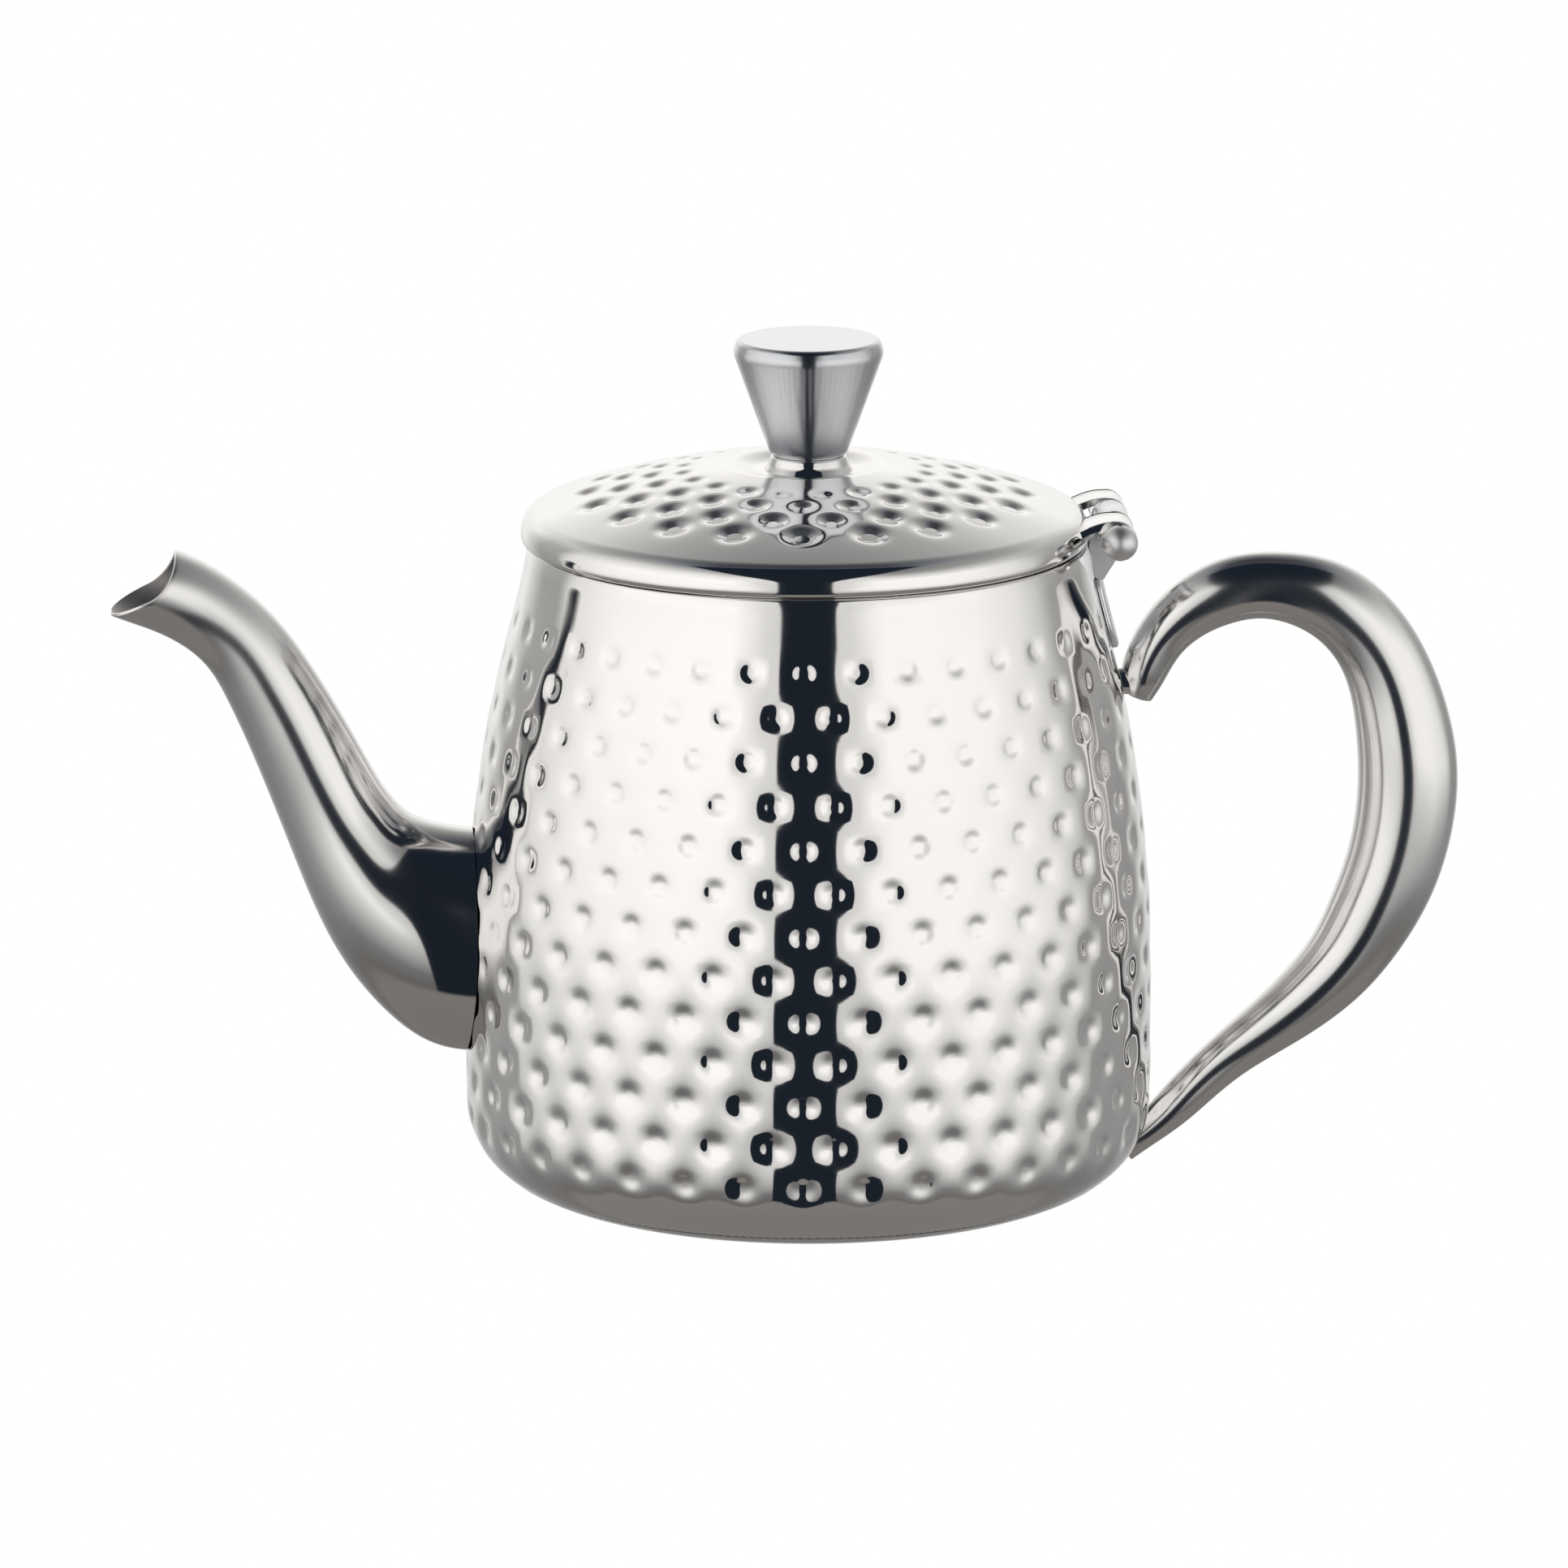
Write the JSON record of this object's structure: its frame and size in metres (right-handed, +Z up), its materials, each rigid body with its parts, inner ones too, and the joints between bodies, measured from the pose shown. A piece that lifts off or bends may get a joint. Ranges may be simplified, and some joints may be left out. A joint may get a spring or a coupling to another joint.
{
  "type": "teapot with infuser",
  "caption": "Dimpled stainless steel teapot with a swan-neck spout, a hollow loop handle, a hinged domed lid with a conical knob and a lift-out perforated tea infuser.",
  "frame": {"origin": "centre of the foot ring on the plane the pot stands on, on the axis of the body", "axes": "+Z up along the body's axis, +X towards the handle, the spout is on -X, and XZ is the plane of symmetry"},
  "size_m": [0.2312, 0.1184, 0.147],
  "materials": {
    "polished_steel": "mirror polished stainless steel",
    "knob_steel": "polished solid stainless steel",
    "satin_steel": "satin stainless steel, inside of the pot and the infuser"
  },
  "bodies": {
    "pot": {"body_shell": "polished_steel", "base_pan": "polished_steel", "mouth_ring": "satin_steel", "spout_front_half": "polished_steel", "spout_rear_half": "polished_steel", "handle_front_half": "polished_steel", "handle_rear_half": "polished_steel", "handle_upper_plug": "polished_steel", "handle_lower_plug": "polished_steel", "handle_weld_neck": "polished_steel", "hinge_bracket": "polished_steel"},
    "lid": {"lid_shell": "polished_steel", "lid_skirt": "satin_steel", "hinge_leaf": "polished_steel", "hinge_pin": "polished_steel", "hinge_pin_ball": "polished_steel", "knob": "knob_steel", "knob_collar": "polished_steel", "knob_washer": "satin_steel", "knob_screw": "satin_steel"},
    "infuser": {"infuser_wall": "satin_steel", "infuser_floor": "satin_steel", "infuser_rim": "satin_steel", "infuser_tabs": "satin_steel"}
  },
  "joints": [
    {"name": "lid_hinge", "type": "hinge", "parent": "pot", "child": "lid", "pos_m": [0.0521, 0, 0.1143], "axis": [0, 1, 0], "range_deg": [0, 105]},
    {"name": "infuser_lift", "type": "slide", "parent": "pot", "child": "infuser", "axis": [0, 0, 1], "range_m": [0, 0.004]}
  ]
}
